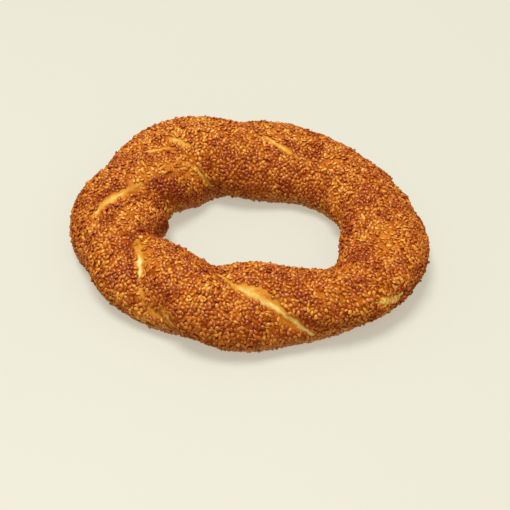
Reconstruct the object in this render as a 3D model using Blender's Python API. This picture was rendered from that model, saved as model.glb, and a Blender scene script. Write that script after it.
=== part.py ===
"""Simit: a baked bread ring of two dough strands twisted round each other, at rest.

Units are metres, +Z is up. The ring lies on its flat baked underside at Z = 0, with the
origin under the middle of its bounding box and its longest way along X.
"""

import math

import bpy

# ---- driving dimensions -------------------------------------------------------------------
NAME = "simit"
RING_RADIUS = 0.0677  # mean radius of the ring's centreline, seen from above
STRAND_RADIUS = 0.0215  # mean radius of each strand, its seeds included
SEPARATION = 0.25  # half the gap between the two strands' middles, per strand radius
FURROW_SOFTNESS = 0.15  # 0 is a knife-sharp furrow between the strands
SQUASH = 0.78  # height of the baked ring against its width
SINK = 0.80  # where the flat underside cuts the section, per squashed strand radius
CENTRE = (0.0015, -0.0027)  # brings the middle of the bounding box over the origin

# Hand-shaping: (waves round the ring, height in metres, direction of a crest in degrees).
# The first list bends the centreline, the second makes the strands thicker and thinner.
BENDS = (
    (2, 0.0070, -15.6),
    (3, 0.0012, -28.6),
    (4, 0.0005, -42.7),
    (5, 0.0008, -29.5),
    (6, 0.0007, 10.0),
)
SWELLS = (
    (1, 0.0027, 134.5),
    (2, 0.0014, -68.0),
    (3, 0.0009, 1.5),
    (4, 0.0008, -7.0),
)

# The twist: three full turns, loose on one side and tight on the other. These are the ring
# angles, in degrees, at which the strands have turned by one more quarter of a turn.
QUARTER_TURNS = (237, 263, 297, 348, 377, 439, 474, 497, 521, 535, 554, 570)

AROUND = 108  # mesh steps round the ring
SECTION = 40  # mesh steps round its section


# ---- the shape ----------------------------------------------------------------------------
def waves(angle, mean, terms):
    """A mean radius with slow waves on it, and its slope per radian of ring angle."""
    value, slope = mean, 0.0
    for count, height, crest in terms:
        turn = count * (angle - math.radians(crest))
        value += height * math.cos(turn)
        slope -= height * count * math.sin(turn)
    return value, slope


def twist(angle):
    """Turn of the strands at a ring angle, eased from one quarter turn to the next."""
    marks = [math.radians(mark) for mark in QUARTER_TURNS]
    count, full = len(marks), 2 * math.pi
    angle = marks[0] + (angle - marks[0]) % full

    def mark(index):
        return marks[index % count] + full * (index // count)

    def rate(index):
        before, after = mark(index) - mark(index - 1), mark(index + 1) - mark(index)
        return 2.0 / (before + after)

    here = max(index for index in range(count) if mark(index) <= angle)
    span = mark(here + 1) - mark(here)
    part = (angle - mark(here)) / span
    eased = part * part * (3 - 2 * part)
    eased += span * rate(here) * part * (1 - part) ** 2
    eased -= span * rate(here + 1) * part * part * (1 - part)
    return math.pi / 2 - (here + eased) * math.pi / 2


def section_reach(turned, strand):
    """Distance from the section's middle to the skin of the two joined strands."""
    offset = SEPARATION * strand
    along = math.hypot(math.cos(turned), FURROW_SOFTNESS) - FURROW_SOFTNESS
    return offset * along + math.sqrt(strand**2 - (offset * math.sin(turned)) ** 2)


def skin_point(angle, around):
    """A point of the crust, from its angle round the ring and its angle in the section."""
    radius, slope = waves(angle, RING_RADIUS, BENDS)
    strand = waves(angle, STRAND_RADIUS, SWELLS)[0]
    reach = section_reach(around - twist(angle), strand)
    cosine, sine = math.cos(angle), math.sin(angle)
    side = (radius * cosine + slope * sine, radius * sine - slope * cosine)
    across = reach * math.cos(around) / math.hypot(*side)
    floor = SINK * SQUASH * STRAND_RADIUS
    return (
        radius * cosine + side[0] * across + CENTRE[0],
        radius * sine + side[1] * across + CENTRE[1],
        max(SQUASH * reach * math.sin(around) + floor, 0.0),
    )


# ---- the object ---------------------------------------------------------------------------
def clear_scene():
    for thing in list(bpy.data.objects):
        bpy.data.objects.remove(thing, do_unlink=True)


def crust_material():
    material = bpy.data.materials.new("baked crust")
    material.use_nodes = True
    shader = material.node_tree.nodes["Principled BSDF"]
    shader.inputs["Base Color"].default_value = (0.42, 0.13, 0.028, 1.0)
    shader.inputs["Roughness"].default_value = 0.55
    return material


def make_ring():
    """A plain torus, each of its points then moved to the shaped dough's skin."""
    bpy.ops.mesh.primitive_torus_add(
        major_segments=AROUND,
        minor_segments=SECTION,
        major_radius=RING_RADIUS,
        minor_radius=STRAND_RADIUS,
    )
    ring = bpy.context.object
    ring.name = ring.data.name = NAME
    for vertex in ring.data.vertices:
        x, y, z = vertex.co
        around = math.atan2(z, math.hypot(x, y) - RING_RADIUS)
        vertex.co = skin_point(math.atan2(y, x), around)
    bpy.ops.object.shade_smooth()
    ring.data.set_sharp_from_angle(angle=math.radians(50))
    ring.data.materials.append(crust_material())
    return ring


def main():
    clear_scene()
    ring = make_ring()
    group = bpy.data.collections.new(NAME)
    bpy.context.scene.collection.children.link(group)
    for holder in list(ring.users_collection):
        holder.objects.unlink(ring)
    group.objects.link(ring)


main()
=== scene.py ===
"""Looks of the simit: the twisted dough ring, its toasted sesame, and a plain stage."""

import math

import bpy
import numpy as np
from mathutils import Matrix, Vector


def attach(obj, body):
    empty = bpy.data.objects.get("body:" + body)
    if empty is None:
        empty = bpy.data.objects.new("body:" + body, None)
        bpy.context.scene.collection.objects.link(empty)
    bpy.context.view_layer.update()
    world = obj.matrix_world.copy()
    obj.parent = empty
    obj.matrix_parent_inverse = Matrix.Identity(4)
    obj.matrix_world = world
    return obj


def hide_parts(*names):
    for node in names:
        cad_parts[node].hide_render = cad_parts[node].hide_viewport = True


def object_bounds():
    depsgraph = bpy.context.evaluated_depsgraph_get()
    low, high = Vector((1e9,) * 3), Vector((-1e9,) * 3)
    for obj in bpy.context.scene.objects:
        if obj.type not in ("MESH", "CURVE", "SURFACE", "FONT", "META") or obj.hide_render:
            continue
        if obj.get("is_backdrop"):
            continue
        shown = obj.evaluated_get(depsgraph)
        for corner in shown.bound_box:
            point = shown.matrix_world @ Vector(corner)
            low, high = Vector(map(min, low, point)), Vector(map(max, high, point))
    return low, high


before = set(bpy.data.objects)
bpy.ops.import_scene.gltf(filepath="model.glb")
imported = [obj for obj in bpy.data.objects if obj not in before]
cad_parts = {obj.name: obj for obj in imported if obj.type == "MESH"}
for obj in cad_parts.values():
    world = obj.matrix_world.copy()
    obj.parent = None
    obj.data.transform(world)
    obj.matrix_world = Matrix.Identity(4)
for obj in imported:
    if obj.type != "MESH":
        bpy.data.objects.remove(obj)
solid_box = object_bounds()

# ---- dough ring ---------------------------------------------------------------------------
# The simit is two rolled strands of wheat dough twisted round each other three times and
# joined into a ring. It is dipped in grape molasses, pressed into sesame and baked, so its
# crust is brown and glossy, and pale where the dough swelled open along the furrows.

RING_RADIUS = 0.0677
STRAND_RADIUS = 0.0215
SEPARATION = 0.25
FURROW_SOFTNESS = 0.15
SQUASH = 0.78
SINK = 0.80
CENTRE = (0.0015, -0.0027)
BENDS = (
    (2, 0.0070, -15.6),
    (3, 0.0012, -28.6),
    (4, 0.0005, -42.7),
    (5, 0.0008, -29.5),
    (6, 0.0007, 10.0),
)
SWELLS = (
    (1, 0.0027, 134.5),
    (2, 0.0014, -68.0),
    (3, 0.0009, 1.5),
    (4, 0.0008, -7.0),
)
QUARTER_TURNS = (237, 263, 297, 348, 377, 439, 474, 497, 521, 535, 554, 570)
AROUND, SECTION = 540, 180  # mesh steps round the ring and round its section
SEED_LAYER = 0.0008  # the strands' radius takes in this much of the seeds
TRAY_GAP = 0.0004  # the baked underside stays this far above the floor
CREASE_WIDTHS = (0.0010, 0.0026)  # of an opened furrow, on its steep and its sloping side
FILLED_WIDTH = 0.0055  # of a furrow that swelled full

# Where the furrows opened and stayed deep, and where a furrow swelled full: ring angle,
# reach to each side in degrees, and depth in metres.
CREASES = ((214, 26, 0.0009), (272, 30, 0.0009), (120, 20, 0.0004), (70, 30, 0.0003))
FILLED = (
    (172, 28, 0.0025),
    (199, 14, 0.0012),
    (132, 20, 0.0010),
    (20, 34, 0.0030),
    (340, 30, 0.0014),
    (60, 20, 0.0006),
)

# Marks on the crust are strokes: a strength, then the ring angle, section angle and half
# width in millimetres at each point. A section angle of 90 degrees is the ring's top and 0
# its outer side. First, where the dough swelled and shows bare: pale at full strength,
# golden at two thirds and brown at a third.
BARE = (
    (0.64, (254, 108, 1.4), (259, 97, 2.3), (263, 88, 2.6), (268, 80, 2.8), (275, 67, 2.4)),
    (0.88, (265, 83, 1.0), (269, 75, 1.9), (274, 66, 2.5), (279, 56, 2.4), (284.5, 44, 1.8)),
    (0.90, (284.5, 44, 1.8), (288.5, 32, 2.0), (291.5, 18, 1.9), (294, 4, 1.7), (297, -14, 1.2)),
    (0.40, (268, 90, 1.0), (275, 79, 1.9), (280, 66, 1.7), (285, 50, 1.2)),
    (0.30, (281, 42, 1.2), (286, 26, 2.4), (291, 6, 1.8)),
    (0.98, (212.5, 85, 0.9), (214.5, 78, 1.5), (217, 67, 1.5), (219.5, 55, 0.9)),
    (0.50, (204, 105, 1.8), (209, 97, 2.8), (213, 84, 3.0), (217, 70, 3.0), (221, 49, 1.8)),
    (0.34, (209, 107, 1.8), (214.5, 97, 2.6), (220, 82, 2.2)),
    (0.46, (221, 44, 1.6), (224.5, 28, 3.0), (228, 15, 3.0), (232, 4, 2.6), (238, -4, 2.2)),
    (0.74, (236.5, 20, 1.3), (239, 8, 2.2), (241.5, -10, 1.7)),
    (0.78, (171.5, 99, 1.0), (174.5, 93, 1.8), (177.5, 84, 2.1), (180, 75, 1.9), (183, 64, 1.2)),
    (0.56, (164, 112, 1.0), (168.5, 104, 1.8), (173, 94, 2.7), (178.5, 80, 2.9), (184, 60, 1.7)),
    (0.36, (165, 98, 1.2), (169, 107, 2.2), (171, 116, 1.6)),
    (0.32, (184, 60, 1.8), (188, 51, 1.6)),
    (0.64, (125, 143, 1.2), (122.5, 154, 2.2), (118.5, 165, 2.6), (114, 178, 2.2), (111, 192, 1.4)),
    (0.32, (124, 150, 1.8), (131, 150, 2.6), (138, 146, 1.6)),
    (0.60, (129, 94, 1.4), (126.5, 103, 2.3), (124.5, 110, 1.5)),
    (0.36, (131, 90, 2.0), (127, 102, 3.2), (123, 113, 1.6)),
    (0.72, (147, 70, 0.8), (141.5, 85, 1.1), (138.5, 92, 1.1), (134, 101, 0.8)),
    (0.30, (148, 69, 1.2), (142, 85, 2.4), (132, 106, 1.2)),
    (0.62, (82, 90, 1.0), (77, 98, 1.7), (71, 106, 1.9), (65, 113, 1.2)),
    (0.36, (86, 82, 1.2), (77, 98, 2.4), (67, 110, 2.8), (58, 118, 3.0), (50, 121, 1.8)),
    (0.30, (44, 137, 1.6), (38, 142, 1.8)),
    (0.45, (102, 203, 1.4), (108, 190, 1.4)),
    (0.35, (157, 195, 1.4), (160, 185, 1.4)),
)
# Next, where the sesame is thin over golden crust.
THIN = (
    (0.7, (203, 134, 3.0), (208, 112, 4.0), (212, 95, 3.0)),
    (0.7, (216, 102, 3.0), (222, 78, 3.0)),
    (0.8, (215, 8, 4.0), (222, -12, 5.0), (230, -16, 5.0)),
    (0.8, (236, 24, 3.0), (241, -14, 4.0)),
    (0.7, (186, 112, 3.0), (191, 100, 4.0), (195, 90, 3.0)),
    (0.6, (158, 113, 3.0), (166, 98, 4.0)),
    (0.5, (150, 112, 5.0), (168, 104, 5.0)),
    (0.6, (152, 200, 3.0), (158, 184, 3.0)),
    (0.9, (128, 138, 4.0), (138, 122, 4.0), (143, 126, 4.0), (151, 113, 5.0)),
    (0.7, (61, 90, 3.0), (69, 78, 5.0), (77, 68, 4.0)),
    (0.7, (84, 118, 2.5), (88, 100, 3.5), (91, 84, 3.0)),
    (0.6, (18, 170, 4.0), (28, 152, 4.0)),
    (0.7, (335, 86, 4.0), (343, 92, 5.0), (350, 96, 4.0)),
    (0.5, (248, 81, 3.0), (252, 72, 3.0)),
    (0.6, (300, 62, 3.0), (306, 48, 3.0)),
    (0.5, (112, 60, 4.0), (122, 70, 4.0)),
    (0.5, (39, 99, 3.0), (43, 84, 3.0)),
)
# Last, where it is darkest: roasted crust and crowded seeds, and painted shade in the folds, such
# as the first two strokes along the side of a pale furrow that the strand above overhangs.
ROASTED_AND_FOLD_SHADE = (
    (1.0, (190, 172, 1.3), (196, 156, 1.8), (198, 138, 1.8), (199, 118, 1.6), (203, 97, 1.2)),
    (1.0, (203, 97, 1.2), (208, 81, 1.2), (212, 68, 1.2), (216.5, 51, 1.0), (220, 40, 0.7)),
    (0.9, (172, 184, 4.0), (176, 172, 4.0)),
    (0.8, (113, 198, 3.0), (121, 187, 3.0)),
    (0.8, (149, 166, 3.0), (154, 148, 5.0), (160, 128, 3.5)),
    (0.8, (166, 157, 1.5), (168, 125, 1.8), (171, 106, 1.5)),
    (0.8, (166, 91, 2.0), (171, 83, 2.2), (177, 67, 2.2)),
    (0.7, (182, 94, 2.5), (189, 79, 3.0)),
    (0.6, (228, 62, 3.0), (236, 50, 3.5), (241, 36, 3.0)),
    (0.7, (292, 44, 2.0), (297, 22, 2.5), (299, 6, 2.0)),
    (0.6, (269, 33, 2.5), (275, 18, 3.0)),
    (0.6, (291, 72, 2.5), (295, 62, 2.5)),
    (0.8, (320, 130, 4.0), (328, 108, 5.0)),
    (0.5, (350, 152, 4.0), (355, 140, 4.0)),
    (0.4, (285, 96, 3.5), (292, 90, 3.5)),
    (0.4, (90, 150, 4.5), (104, 140, 4.5)),
    (0.7, (62, 104, 2.0), (69, 94, 2.5)),
    (0.5, (50, 94, 3.0), (55, 79, 3.0)),
    (0.4, (2, 121, 4.0), (8, 94, 4.0)),
    (0.5, (57, 177, 4.0), (63, 170, 4.0)),
)
TORN_CRUMB = (
    (1.0, (317, 31, 0.9), (319.5, 26, 1.7), (320.5, 18, 1.5), (324.5, 6, 1.2)),
    (1.0, (319, 17, 0.9), (322.5, 20, 2.1), (326, 15, 0.8)),
)


class Wire:
    """A socket of a node tree. Arithmetic adds Math nodes, and make() adds any other."""

    def __init__(self, tree, socket=None):
        self.tree, self.socket = tree, socket

    def make(self, kind, settings=None, inputs=None, output=0):
        node = self.tree.nodes.new(kind)
        for name, value in (settings or {}).items():
            if name == "stops":
                ramp = node.color_ramp
                while len(ramp.elements) < len(value):
                    ramp.elements.new(1.0)
                for element, (place, colour) in zip(ramp.elements, value):
                    element.position, element.color = place, (*colour, 1.0)
            else:
                setattr(node, name, value)
        for name, value in (inputs or {}).items():
            if isinstance(value, Wire):
                self.tree.links.new(value.socket, node.inputs[name])
            else:
                node.inputs[name].default_value = value
        return Wire(self.tree, node.outputs[output] if node.outputs else None)

    def out(self, name):
        return Wire(self.tree, self.socket.node.outputs[name])

    def math(self, operation, *others):
        values = dict(enumerate((self, *others)))
        return self.make("ShaderNodeMath", {"operation": operation}, values)

    def __add__(self, other):
        return self.math("ADD", other)

    def __sub__(self, other):
        return self.math("SUBTRACT", other)

    def __rsub__(self, other):
        return self.math("MULTIPLY_ADD", -1.0, other)

    def __mul__(self, other):
        return self.math("MULTIPLY", other)

    def __truediv__(self, other):
        return self.math("DIVIDE", other)

    def __pow__(self, other):
        return self.math("POWER", other)

    def eased(self, low, high, start=0.0, end=1.0):
        """A smooth step from start to end as this value goes from low to high."""
        return self.make(
            "ShaderNodeMapRange",
            {"interpolation_type": "SMOOTHSTEP"},
            {"Value": self, 1: low, 2: high, 3: start, 4: end},
        )


def new_tree(name, **inputs):
    """A Geometry Nodes tree with a mesh input and these others, given by their defaults."""
    tree = bpy.data.node_groups.new(name, "GeometryNodeTree")
    tree.interface.new_socket("Mesh", in_out="OUTPUT", socket_type="NodeSocketGeometry")
    tree.interface.new_socket("Mesh", in_out="INPUT", socket_type="NodeSocketGeometry")
    for label, value in inputs.items():
        kinds = {float: "Float", int: "Int", bpy.types.Material: "Material"}
        socket = tree.interface.new_socket(
            label, in_out="INPUT", socket_type="NodeSocket" + kinds[type(value)]
        )
        socket.default_value = value
    source = tree.nodes.new("NodeGroupInput")
    wires = {socket.name: Wire(tree, socket) for socket in source.outputs if socket.name}
    return tree, wires


def end_tree(tree, geometry):
    target = tree.nodes.new("NodeGroupOutput")
    tree.links.new(geometry.socket, target.inputs[0])


def run_tree(name, mesh, tree, **values):
    """The plain mesh object that a tree makes from a mesh, with these input values."""
    carrier = bpy.data.objects.new(name + "_maker", mesh)
    bpy.context.scene.collection.objects.link(carrier)
    modifier = carrier.modifiers.new(tree.name, "NODES")
    modifier.node_group = tree
    for item in tree.interface.items_tree:
        if item.in_out == "INPUT" and item.name in values:
            modifier[item.identifier] = values[item.name]
    graph = bpy.context.evaluated_depsgraph_get()
    made = bpy.data.meshes.new_from_object(carrier.evaluated_get(graph))
    bpy.data.objects.remove(carrier)
    piece = bpy.data.objects.new(name, made)
    bpy.context.scene.collection.objects.link(piece)
    return piece


def stored(wire, name, kind="FLOAT"):
    """Reads an attribute of the mesh in a Geometry Nodes tree."""
    return wire.make("GeometryNodeInputNamedAttribute", {"data_type": kind}, {"Name": name})


def store(wire, geometry, name, value):
    """Writes a number on every point of the mesh in a Geometry Nodes tree."""
    return wire.make(
        "GeometryNodeStoreNamedAttribute",
        {"data_type": "FLOAT", "domain": "POINT"},
        {"Geometry": geometry, "Name": name, "Value": value},
    )


def waves(angle, mean, terms):
    """A mean radius with slow waves on it, and its slope per radian of ring angle."""
    value, slope = mean, 0.0
    for count, height, crest in terms:
        turn = count * (angle - math.radians(crest))
        value += height * math.cos(turn)
        slope -= height * count * math.sin(turn)
    return value, slope


def twist(angle):
    """Turn of the strands at a ring angle, eased from one quarter turn to the next."""
    marks = [math.radians(mark) for mark in QUARTER_TURNS]
    count, full = len(marks), 2 * math.pi
    angle = marks[0] + (angle - marks[0]) % full

    def mark(index):
        return marks[index % count] + full * (index // count)

    def rate(index):
        before, after = mark(index) - mark(index - 1), mark(index + 1) - mark(index)
        return 2.0 / (before + after)

    here = max(index for index in range(count) if mark(index) <= angle)
    span = mark(here + 1) - mark(here)
    part = (angle - mark(here)) / span
    eased = part * part * (3 - 2 * part)
    eased += span * rate(here) * part * (1 - part) ** 2
    eased -= span * rate(here + 1) * part * part * (1 - part)
    return math.pi / 2 - (here + eased) * math.pi / 2


def set_values(mesh, name, values, kind="FLOAT"):
    attribute = mesh.attributes.new(name, kind, "POINT")
    field = "vector" if kind == "FLOAT_VECTOR" else "value"
    attribute.data.foreach_set(field, np.asarray(values, np.float32).ravel())


def get_values(mesh, name):
    values = np.empty(len(mesh.vertices), np.float32)
    mesh.attributes[name].data.foreach_get("value", values)
    return values


def along_ring(angle, marks):
    """The sum of smooth bumps at these ring angles, each with its reach and height."""
    total = 0.0
    for middle, reach, height in marks:
        apart = (math.degrees(angle) - middle + 180.0) % 360.0 - 180.0
        total += height * math.cos(math.pi / 2 * min(abs(apart) / reach, 1.0)) ** 2
    return total


def centreline():
    """The line through the middle of the ring, carrying what its section needs there."""
    spine, side = [], []
    strand, turned, around, crease, filled = [], [], [], [], []
    for angle in np.linspace(0.0, 2 * math.pi, AROUND, endpoint=False):
        radius, slope = waves(angle, RING_RADIUS, BENDS)
        cosine, sine = math.cos(angle), math.sin(angle)
        out = np.array((radius * cosine + slope * sine, radius * sine - slope * cosine, 0.0))
        spine.append((radius * cosine + CENTRE[0], radius * sine + CENTRE[1], 0.0))
        side.append(out / np.linalg.norm(out))
        strand.append(waves(angle, STRAND_RADIUS, SWELLS)[0])
        turned.append(twist(angle))
        around.append(angle)
        crease.append(along_ring(angle, CREASES))
        filled.append(along_ring(angle, FILLED))
    mesh = bpy.data.meshes.new("centreline")
    mesh.from_pydata(spine, [(i, (i + 1) % AROUND) for i in range(AROUND)], [])
    set_values(mesh, "spine", spine, "FLOAT_VECTOR")
    set_values(mesh, "side", side, "FLOAT_VECTOR")
    lists = {"strand": strand, "turned": turned, "around": around}
    lists |= {"crease": crease, "filled": filled}
    for name, values in lists.items():
        set_values(mesh, name, values)
    return mesh


def ring_tree():
    """Sweeps a circle round the centreline, then sets each point on the twisted strands."""
    tree, given = new_tree(
        "twisted ring",
        SectionSteps=SECTION,
        SeedLayer=SEED_LAYER,
        Separation=SEPARATION,
        Softness=FURROW_SOFTNESS,
        Squash=SQUASH,
        Sink=SINK * SQUASH * STRAND_RADIUS,
        LumpHeight=0.0011,
        WrinkleHeight=0.0004,
        TrayGap=TRAY_GAP,
        Finish=crust,
    )
    wire = Wire(tree)

    def vector_math(operation, first, second):
        inputs = {0: first, ("Scale" if operation == "SCALE" else 1): second}
        return wire.make("ShaderNodeVectorMath", {"operation": operation}, inputs)

    circle = wire.make(
        "GeometryNodeCurvePrimitiveCircle", None, {"Resolution": given["SectionSteps"]}
    )
    step = wire.make("GeometryNodeInputIndex") * (2 * math.pi)
    circle = store(wire, circle, "section", step / given["SectionSteps"])
    line = wire.make("GeometryNodeMeshToCurve", None, {"Mesh": given["Mesh"]})
    tube = wire.make("GeometryNodeCurveToMesh", None, {"Curve": line, "Profile Curve": circle})
    tube = wire.make("GeometryNodeFlipFaces", None, {"Mesh": tube})

    section, strand = stored(wire, "section"), stored(wire, "strand") - given["SeedLayer"]
    turned = section - stored(wire, "turned")
    offset = strand * given["Separation"]
    cosine, sine = turned.math("COSINE"), turned.math("SINE")
    soft = given["Softness"]
    along = (cosine * cosine + soft * soft).math("SQRT") - soft
    reach = offset * along + (strand * strand - (offset * sine) ** 2).math("SQRT")
    beyond = reach * cosine * sine.math("SIGN") * -1.0
    steep, sloping = CREASE_WIDTHS
    width = beyond.math("GREATER_THAN", 0.0) * (sloping - steep) + steep
    crease = ((beyond / width) ** 2 * -1.0).math("EXPONENT") * stored(wire, "crease")
    full = ((beyond / FILLED_WIDTH) ** 2 * -1.0).math("EXPONENT") * stored(wire, "filled")
    reach = reach - crease + full
    side = stored(wire, "side", "FLOAT_VECTOR")
    across = vector_math("SCALE", side, reach * section.math("COSINE"))
    height = given["Squash"] * reach * section.math("SINE") + given["Sink"]
    height = height.math("MAXIMUM", given["TrayGap"])
    lift = wire.make("ShaderNodeCombineXYZ", None, {"Z": height})
    spine = stored(wire, "spine", "FLOAT_VECTOR")
    place = vector_math("ADD", spine, vector_math("ADD", across, lift))
    tube = wire.make("GeometryNodeSetPosition", None, {"Geometry": tube, "Position": place})

    def noise(scale, detail, shift=0.0):
        spot = wire.make("GeometryNodeInputPosition")
        spot = vector_math("ADD", spot, (shift, shift, shift))
        inputs = {"Vector": spot, "Scale": scale, "Detail": detail}
        return wire.make("ShaderNodeTexNoise", None, inputs) - 0.5

    tube = store(wire, tube, "blotch", noise(62.0, 2.0, 1.7))
    tube = store(wire, tube, "speckle", noise(330.0, 3.0, 4.1))
    tube = store(wire, tube, "patch", noise(150.0, 2.0, 6.3))
    lumps = noise(70.0, 1.0) * 2.0 * given["LumpHeight"]
    wrinkles = noise(260.0, 2.0, 2.3) * 2.0 * given["WrinkleHeight"]
    rise = wire.make("GeometryNodeInputPosition")
    rise = wire.make("ShaderNodeSeparateXYZ", None, {0: rise}).out("Z").eased(0.0006, 0.005)
    push = vector_math("SCALE", wire.make("GeometryNodeInputNormal"), (lumps + wrinkles) * rise)
    tube = wire.make("GeometryNodeSetPosition", None, {"Geometry": tube, "Offset": push})
    tube = wire.make("GeometryNodeSetShadeSmooth", None, {"Geometry": tube})
    tube = wire.make("GeometryNodeRealizeInstances", None, {"Geometry": tube})
    skin = {"Geometry": tube, "Material": given["Finish"]}
    end_tree(tree, wire.make("GeometryNodeSetMaterial", None, skin))
    return tree


def new_material(name, roughness, **constants):
    """A Principled material, and a wire to write its maths with."""
    material = bpy.data.materials.new(name)
    material.use_nodes = True
    shader = material.node_tree.nodes["Principled BSDF"]
    shader.inputs["Roughness"].default_value = roughness
    for label, value in constants.items():
        shader.inputs[label.replace("_", " ")].default_value = value
    return material, shader, Wire(material.node_tree)


GLAZE = (1.0, 0.84, 0.54, 1.0)  # tint of the shine that the molasses leaves
crust, shader, wire = new_material(
    "baked crust", 0.5, Specular_IOR_Level=0.15, Specular_Tint=GLAZE
)
dough = run_tree(
    "dough_ring", centreline(), ring_tree(), SeedLayer=SEED_LAYER, Finish=crust
)
around = np.degrees(get_values(dough.data, "around"))
section = np.degrees(get_values(dough.data, "section"))
blotch = get_values(dough.data, "blotch")
speckle = get_values(dough.data, "speckle")
corners = np.empty(len(dough.data.vertices) * 3, np.float32)
dough.data.vertices.foreach_get("co", corners)
height = corners[2::3]

SECTION_ARC = 0.95 * STRAND_RADIUS  # crust passed per radian of section angle, on average
# How ragged and how soft the edges are of each kind of mark.
EDGE_NOISE = {"bare": 2.6, "thin": 2.0, "roast": 1.6, "crumb": 4.2}
EDGE_SOFTNESS = {"bare": 0.8, "thin": 0.6, "roast": 0.7, "crumb": 0.4}
RIM_HEIGHTS = (0.002, 0.013)  # where the pale rim round the underside, paler toasting and painted bounce light from below, starts to fade, and ends


def turns_between(angle, mark):
    """The turn in degrees from one angle to another, from -180 to 180."""
    return (angle - mark + 180.0) % 360.0 - 180.0


def reach_from(start, end):
    """Distance over the crust, in metres, from a stroke's line, and the stroke's half width."""
    across = RING_RADIUS + STRAND_RADIUS * np.cos(np.radians(section))
    across = np.radians(turns_between(around, start[0])) * across
    along = np.radians(turns_between(section, start[1])) * SECTION_ARC
    middle = math.radians((start[1] + end[1]) / 2)
    line = np.array(
        (
            math.radians(end[0] - start[0]) * (RING_RADIUS + STRAND_RADIUS * math.cos(middle)),
            math.radians(end[1] - start[1]) * SECTION_ARC,
        )
    )
    part = np.clip((across * line[0] + along * line[1]) / float(line @ line), 0.0, 1.0)
    gap = np.hypot(across - part * line[0], along - part * line[1])
    return gap, 0.001 * (start[2] + part * (end[2] - start[2]))


def smooth(value, low, high):
    """A smooth step from 0 to 1 as the value goes from low to high."""
    part = np.clip((value - low) / (high - low), 0.0, 1.0)
    return part * part * (3 - 2 * part)


def strokes(kind, marks):
    """How strongly each point of the dough is covered by these marks, from 0 to 1."""
    raggedness, softness = EDGE_NOISE[kind], EDGE_SOFTNESS[kind]
    covered = np.zeros_like(around)
    for strength, *spots in marks:
        for start, end in zip(spots, spots[1:]):
            gap, edge = reach_from(start, end)
            edge = edge * (1.0 + raggedness * speckle)
            mark = 1.0 - smooth(gap, edge * (1.0 - softness), edge * (1.0 + softness))
            covered = np.maximum(covered, strength * mark)
    return covered


painting = {
    "bare": strokes("bare", BARE),
    "thin": strokes("thin", THIN),
    "roast": strokes("roast", ROASTED_AND_FOLD_SHADE),
    "crumb": strokes("crumb", TORN_CRUMB),
    "underside": 1.0 - smooth(height, *RIM_HEIGHTS),
}
# The share of places for a seed that hold one: few on bare dough, and few under the ring.
cover = 1.0 - smooth(painting["bare"], 0.08, 0.52)
cover *= 1.0 - 0.38 * painting["thin"]
cover *= 1.0 - smooth(painting["crumb"], 0.1, 0.5)
cover *= 0.99 - 0.16 * smooth(blotch, 0.06, 0.2)
cover *= np.where(height < TRAY_GAP + 0.0002, 0.25, 1.0)
painting["cover"] = cover
for name, values in painting.items():
    set_values(dough.data, name, values)


def finish_material(shader, wire, **sockets):
    """Links these wires to the shader's sockets of the same names."""
    for label, value in sockets.items():
        wire.tree.links.new(value.socket, shader.inputs[label.replace("_", " ")])


def mixed(wire, factor, first, second):
    """One colour over another, by a factor from 0 to 1."""
    inputs = {0: factor, 6: first, 7: second}
    inputs = {k: (*v, 1.0) if isinstance(v, tuple) else v for k, v in inputs.items()}
    return wire.make("ShaderNodeMix", {"data_type": "RGBA"}, inputs, 2)


def painted(wire, name):
    """Reads a number painted on the mesh, in a material."""
    settings = {"attribute_name": name, "attribute_type": "GEOMETRY"}
    return wire.make("ShaderNodeAttribute", settings).out("Fac")


def shader_noise(wire, scale, detail=2.0):
    spot = wire.make("ShaderNodeTexCoord").out("Object")
    inputs = {"Vector": spot, "Scale": scale, "Detail": detail}
    return wire.make("ShaderNodeTexNoise", None, inputs)


# Darkest crust: roasted, and painted shade in the folds.
ROASTED_CRUST_AND_FOLD_SHADE = (0.22, 0.026, 0.002)
mottle = shader_noise(wire, 150.0, 4.0)
grain = shader_noise(wire, 900.0, 3.0)
# Brown crust, darkened with painted shade where it shows between the seeds, golden where the sesame
# is thin, pale where the dough swelled, then roasted, with painted shade in the folds.
# Crust under the sesame: its dark brown is partly baked molasses and partly painted shade in the
# gaps between seeds.
browned_and_gap_shade = wire.make(
    "ShaderNodeValToRGB",
    {
        "stops": (
            (0.30, (0.265, 0.035, 0.001)),
            (0.48, (0.360, 0.067, 0.002)),
            (0.66, (0.490, 0.122, 0.005)),
        )
    },
    {"Fac": mottle},
)
golden = mixed(wire, grain.eased(0.35, 0.65), (0.50, 0.150, 0.008), (0.62, 0.240, 0.022))
thinness = painted(wire, "thin") * mottle.eased(0.3, 0.6, 0.45, 0.95)
colour = mixed(wire, thinness, browned_and_gap_shade, golden)
swollen = wire.make(
    "ShaderNodeValToRGB",
    {
        "stops": (
            (0.0, (0.40, 0.092, 0.004)),
            (0.30, (0.47, 0.148, 0.010)),
            (0.58, (0.57, 0.268, 0.034)),
            (0.82, (0.70, 0.428, 0.110)),
            (1.0, (0.78, 0.600, 0.270)),
        )
    },
    {"Fac": painted(wire, "bare") + (grain - 0.5) * 0.5 + (mottle - 0.5) * 0.9},
)
colour = mixed(wire, painted(wire, "bare").eased(0.05, 0.35), colour, swollen)
# Roasted crust and painted fold shade darken the colour here.
colour = mixed(wire, painted(wire, "roast") * 0.8, colour, ROASTED_CRUST_AND_FOLD_SHADE)
torn = mixed(wire, grain.eased(0.38, 0.62), (0.58, 0.240, 0.020), (0.84, 0.560, 0.140))
colour = mixed(wire, painted(wire, "crumb").eased(0.2, 0.7), colour, torn)
relief = mottle * 0.5 + grain * 0.35
pores = {"Strength": 0.8, "Distance": 0.0008, "Height": relief}
bump = wire.make("ShaderNodeBump", None, pores)
sheen = mottle.eased(0.3, 0.7, 0.50, 0.72)
finish_material(shader, wire, Base_Color=colour, Normal=bump, Roughness=sheen)

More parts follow.
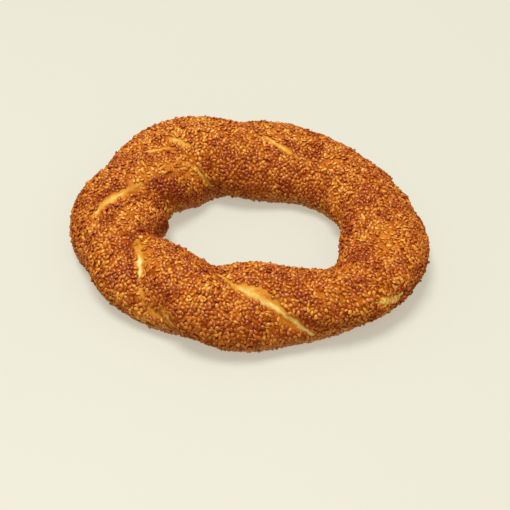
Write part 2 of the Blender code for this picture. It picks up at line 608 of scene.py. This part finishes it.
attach(dough, "root")
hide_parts("simit")

# ---- toasted sesame -----------------------------------------------------------------------
# Sesame covers the crust in one packed layer, stuck down by the molasses before baking.
# The seeds are flat drops a little over 3 mm long, and toast from pale gold to dark brown.

SEED = (0.0034, 0.0022, 0.0012)  # length, width and thickness
SEED_SPACING = 0.00179
SEED_TAPER = 0.38  # how much narrower than its middle a seed is near its tip
SEED_FLATNESS = 0.45  # 1 is a round face, 0 a flat one
PLACES_PER_SQUARE_METRE = 2.2e6  # more than the spacing leaves room for
LEAN, LOOSE_LEAN = 0.55, 0.65  # most lean of a seed in radians, and what a loose one adds
LIFT, LOOSE_LIFT = 0.00035, 0.0007  # most lift of a seed in metres, and a loose one's extra
LOOSE_SHARE = 0.09  # the share of seeds that stand up from the rest
SEED_EDGE_MOLASSES_AND_SHADE = (0.30, 0.039, 0.001)  # molasses caught round the edge of a seed, and painted shade under it and where it meets the crust
TRAY_PALE_AND_BOUNCE_LIGHT = (0.60, 0.260, 0.090)  # seeds near the tray: partly paler from lighter toasting, partly painted light bounced up from below
# One piece for each depth of toasting: its name, its range of tone, and its colours. The
# darkest takes any lower tone as well.
TOASTING = (
    ("sesame_dark", 0.00, 0.20, (0.295, 0.041, 0.001), (0.410, 0.078, 0.002)),
    ("sesame_brown", 0.20, 0.50, (0.410, 0.078, 0.002), (0.515, 0.136, 0.005)),
    ("sesame_golden", 0.50, 0.84, (0.515, 0.136, 0.005), (0.665, 0.236, 0.016)),
    ("sesame_pale", 0.84, 2.00, (0.665, 0.236, 0.016), (0.820, 0.390, 0.052)),
)


def seed_tree():
    """Scatters drop-shaped seeds over the dough by its cover, keeping one range of tone."""
    tree, given = new_tree(
        "pressed sesame",
        Spacing=SEED_SPACING,
        Length=SEED[0],
        Width=SEED[1],
        Thickness=SEED[2],
        Taper=SEED_TAPER,
        Flatness=SEED_FLATNESS,
        ToneFrom=0.0,
        ToneTo=1.0,
        Finish=crust,
    )
    wire = Wire(tree)

    def random(low, high, seed):
        inputs = {2: low, 3: high, "Seed": seed}
        return wire.make("FunctionNodeRandomValue", {"data_type": "FLOAT"}, inputs, 1)

    def vector(x, y, z):
        return wire.make("ShaderNodeCombineXYZ", None, {"X": x, "Y": y, "Z": z})

    def place():
        spot = wire.make("GeometryNodeInputPosition")
        return wire.make("ShaderNodeSeparateXYZ", None, {0: spot})

    ball = wire.make(
        "GeometryNodeMeshUVSphere", None, {"Segments": 8, "Rings": 4, "Radius": 1.0}
    )
    turn = {"Geometry": ball, "Rotation": (0.0, math.pi / 2, 0.0)}
    ball = wire.make("GeometryNodeTransform", None, turn)
    spot = place()
    x, y, z = spot, spot.out("Y"), spot.out("Z")
    drop = vector(
        x * given["Length"] * 0.5,
        y * given["Width"] * 0.5 * (1.0 - x * given["Taper"]),
        z.math("ABSOLUTE") ** given["Flatness"] * z.math("SIGN") * given["Thickness"] * 0.5,
    )
    seed = store(wire, ball, "tip", x)
    seed = store(wire, seed, "crown", z)
    seed = wire.make("GeometryNodeSetPosition", None, {"Geometry": seed, "Position": drop})

    points = wire.make(
        "GeometryNodeDistributePointsOnFaces",
        {"distribute_method": "POISSON"},
        {
            "Mesh": given["Mesh"],
            "Distance Min": given["Spacing"],
            "Density Max": PLACES_PER_SQUARE_METRE,
            "Density Factor": stored(wire, "cover").math("GREATER_THAN", 0.02),
            "Seed": 11,
        },
    )
    turned = points.out("Rotation")
    # Seeds under the roasted marks and the painted fold shade are darker.
    tone = random(0.08, 0.88, 3) - stored(wire, "roast") * 0.75 + stored(wire, "blotch") * 1.0
    tone = tone + stored(wire, "thin") * 0.25 + stored(wire, "patch") * 1.25
    tone = tone + stored(wire, "speckle") * 0.4
    points = store(wire, points, "tone", tone)
    # The surface's own rotation is kept with each point before any point is deleted.
    points = wire.make("GeometryNodeCaptureAttribute", None, {"Geometry": points})
    capture = points.socket.node
    capture.capture_items.new("ROTATION", "turned")
    tree.links.new(turned.socket, capture.inputs["turned"])
    turned = Wire(tree, capture.outputs["turned"])
    low = wire.make(
        "FunctionNodeCompare",
        {"data_type": "FLOAT", "operation": "LESS_THAN"},
        {0: stored(wire, "tone"), 1: given["ToneFrom"]},
    )
    high = wire.make(
        "FunctionNodeCompare",
        {"data_type": "FLOAT", "operation": "GREATER_EQUAL"},
        {0: stored(wire, "tone"), 1: given["ToneTo"]},
    )
    other = wire.make("FunctionNodeBooleanMath", {"operation": "OR"}, {0: low, 1: high})
    fallen = wire.make(
        "FunctionNodeCompare",
        {"data_type": "FLOAT", "operation": "GREATER_THAN"},
        {0: random(0.0, 1.0, 4), 1: stored(wire, "cover")},
    )
    other = wire.make("FunctionNodeBooleanMath", {"operation": "OR"}, {0: other, 1: fallen})
    unwanted = {"Geometry": points, "Selection": other}
    points = wire.make("GeometryNodeDeleteGeometry", {"domain": "POINT"}, unwanted)

    loose = random(0.0, 1.0, 13).math("GREATER_THAN", 1.0 - LOOSE_SHARE)
    lean = loose * LOOSE_LEAN + LEAN
    lean_x, lean_y = random(-1.0, 1.0, 5) * lean, random(-1.0, 1.0, 6) * lean
    tilt = vector(lean_x, lean_y, random(-math.pi, math.pi, 7))
    tilt = wire.make("FunctionNodeEulerToRotation", None, {0: tilt})
    spin = wire.make(
        "FunctionNodeRotateRotation", {"rotation_space": "LOCAL"}, {0: turned, 1: tilt}
    )
    size = vector(random(0.88, 1.10, 8), random(0.88, 1.12, 9), random(0.85, 1.15, 10))
    seeds = wire.make(
        "GeometryNodeInstanceOnPoints",
        None,
        {"Points": points, "Instance": seed, "Rotation": spin, "Scale": size},
    )
    lifted = vector(0.0, 0.0, random(0.0, LIFT, 12) + loose * LOOSE_LIFT)
    seeds = wire.make(
        "GeometryNodeTranslateInstances",
        None,
        {"Instances": seeds, "Translation": lifted, "Local Space": True},
    )
    seeds = wire.make("GeometryNodeRealizeInstances", None, {"Geometry": seeds})
    spot = place()
    pressed = vector(spot, spot.out("Y"), spot.out("Z").math("MAXIMUM", 0.0))
    seeds = wire.make("GeometryNodeSetPosition", None, {"Geometry": seeds, "Position": pressed})
    seeds = wire.make("GeometryNodeSetShadeSmooth", None, {"Geometry": seeds})
    seeds = wire.make(
        "GeometryNodeSetMaterial", None, {"Geometry": seeds, "Material": given["Finish"]}
    )
    end_tree(tree, seeds)
    return tree


scatter = seed_tree()
for name, tone_from, tone_to, dark, light in TOASTING:
    skin, shader, wire = new_material(
        name + " skin", 0.38, Specular_IOR_Level=1.0, Specular_Tint=GLAZE
    )
    tone = painted(wire, "tone").eased(tone_from - 0.05, min(tone_to, 1.1) + 0.05)
    tip = painted(wire, "tip").eased(-1.0, 1.0, 0.0, 0.35)
    fine = shader_noise(wire, 1100.0, 2.0)
    colour = mixed(wire, tone, dark, light)
    colour = mixed(wire, tip + (fine - 0.5) * 0.5, colour, dark)
    # Each seed is darker down its sides and underneath, its top lighter: partly molasses round its
    # edge, partly painted shade.
    crown = painted(wire, "crown").eased(-0.3, 0.6)
    colour = mixed(wire, crown, SEED_EDGE_MOLASSES_AND_SHADE, colour)
    # Painted bounce light from below, with paler toasting, lightens the seeds near the tray.
    colour = mixed(wire, painted(wire, "underside") * 0.6, colour, TRAY_PALE_AND_BOUNCE_LIGHT)
    wrinkles = {"Strength": 0.25, "Distance": 0.0002, "Height": fine}
    bump = wire.make("ShaderNodeBump", None, wrinkles)
    finish_material(shader, wire, Base_Color=colour, Normal=bump)
    low = -5.0 if tone_from == 0.0 else tone_from
    piece = run_tree(name, dough.data, scatter, ToneFrom=low, ToneTo=tone_to, Finish=skin)
    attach(piece, "root")

# ---- stage --------------------------------------------------------------------------------
# A plain pale floor under one large soft light, which hangs high over the ring and a little
# to its left, with the camera looking down on the ring from the front.

CAMERA_DISTANCE = 0.62
CAMERA_HEIGHT_ANGLE = math.radians(43.3)
LOOK_AT = (0.00415, -0.00995)
LENS_MM, SENSOR_MM = 78.15, 36.0
ROOM_LIGHT, ROOM_STRENGTH = (1.0, 0.96, 0.88, 1.0), 0.66

bpy.ops.mesh.primitive_plane_add(size=6.0)
floor = bpy.context.object
floor.name = "floor"
paint, shader, wire = new_material(
    "pale floor", 0.6, Emission_Color=(1.0, 0.93, 0.74, 1.0), Emission_Strength=0.42
)
cloud = shader_noise(wire, 3.0)
tint = mixed(wire, cloud, (0.262, 0.274, 0.250), (0.280, 0.292, 0.266))
finish_material(shader, wire, Base_Color=tint)
floor.data.materials.append(paint)
floor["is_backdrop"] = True
floor.visible_glossy = False


def soft_light(name, size, watts, place, colour):
    """A round lamp of this diameter, aimed at the middle of the ring."""
    lamp = bpy.data.lights.new(name, "AREA")
    lamp.shape, lamp.size, lamp.energy, lamp.color = "DISK", size, watts, colour
    holder = bpy.data.objects.new(name, lamp)
    bpy.context.scene.collection.objects.link(holder)
    holder.location = place
    aim = -holder.location
    holder.rotation_euler = aim.to_track_quat("-Z", "Y").to_euler()


soft_light("window", size=1.15, watts=58.5, place=(-0.40, 0.12, 2.48), colour=(1.0, 0.985, 0.95))
soft_light("fill", size=1.6, watts=5.0, place=(0.9, -1.5, 1.9), colour=(1.0, 0.97, 0.92))
bpy.data.lights["fill"].specular_factor = 0.0
world = bpy.data.worlds.new("soft room")
world.use_nodes = True
background = world.node_tree.nodes["Background"]
background.inputs["Color"].default_value = ROOM_LIGHT
background.inputs["Strength"].default_value = ROOM_STRENGTH
world.cycles_visibility.glossy = False
bpy.context.scene.world = world
bpy.context.scene.view_settings.view_transform = "Standard"

lens = bpy.data.cameras.new("camera")
lens.lens, lens.sensor_width = LENS_MM, SENSOR_MM
camera = bpy.data.objects.new("camera", lens)
bpy.context.scene.collection.objects.link(camera)
camera.location = (
    LOOK_AT[0],
    LOOK_AT[1] - CAMERA_DISTANCE * math.cos(CAMERA_HEIGHT_ANGLE),
    CAMERA_DISTANCE * math.sin(CAMERA_HEIGHT_ANGLE),
)
camera.rotation_euler = (math.pi / 2 - CAMERA_HEIGHT_ANGLE, 0.0, 0.0)
bpy.context.scene.camera = camera

boxes = {"solid": solid_box, "looks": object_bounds()}
boxes = {k: [[float(n) for n in corner] for corner in box] for k, box in boxes.items()}
